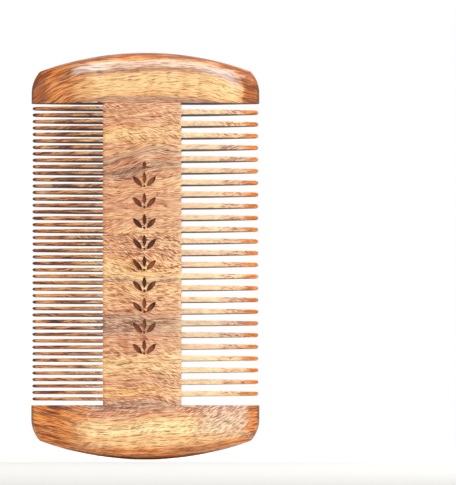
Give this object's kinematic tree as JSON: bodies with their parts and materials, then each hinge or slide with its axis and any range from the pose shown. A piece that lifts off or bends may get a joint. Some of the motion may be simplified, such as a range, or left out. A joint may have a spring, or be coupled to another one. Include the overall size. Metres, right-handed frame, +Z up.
{
  "type": "beard comb",
  "caption": "Double-sided wooden pocket comb with a row of fine teeth, a row of wide teeth, arched solid ends and a burnt-in band of leaf sprouts on its spine.",
  "frame": {"origin": "under the middle of the lower end, in the comb's middle plane", "axes": "+Z up along the spine, +X from the fine teeth to the wide teeth, +Y from the ornamented face to the plain back"},
  "size_m": [0.056, 0.01, 0.1],
  "materials": {
    "guard_wood": "hand-rubbed satin, figured yellow-brown hardwood",
    "stave_wood": "hand-rubbed satin, figured tan hardwood with grey streaks"
  },
  "bodies": {
    "root": {"upper_guard": "guard_wood", "stave_1": "stave_wood", "stave_2": "stave_wood", "stave_3": "stave_wood", "stave_4": "stave_wood", "stave_5": "stave_wood", "stave_6": "stave_wood", "stave_7": "stave_wood", "lower_guard": "guard_wood"}
  },
  "joints": []
}
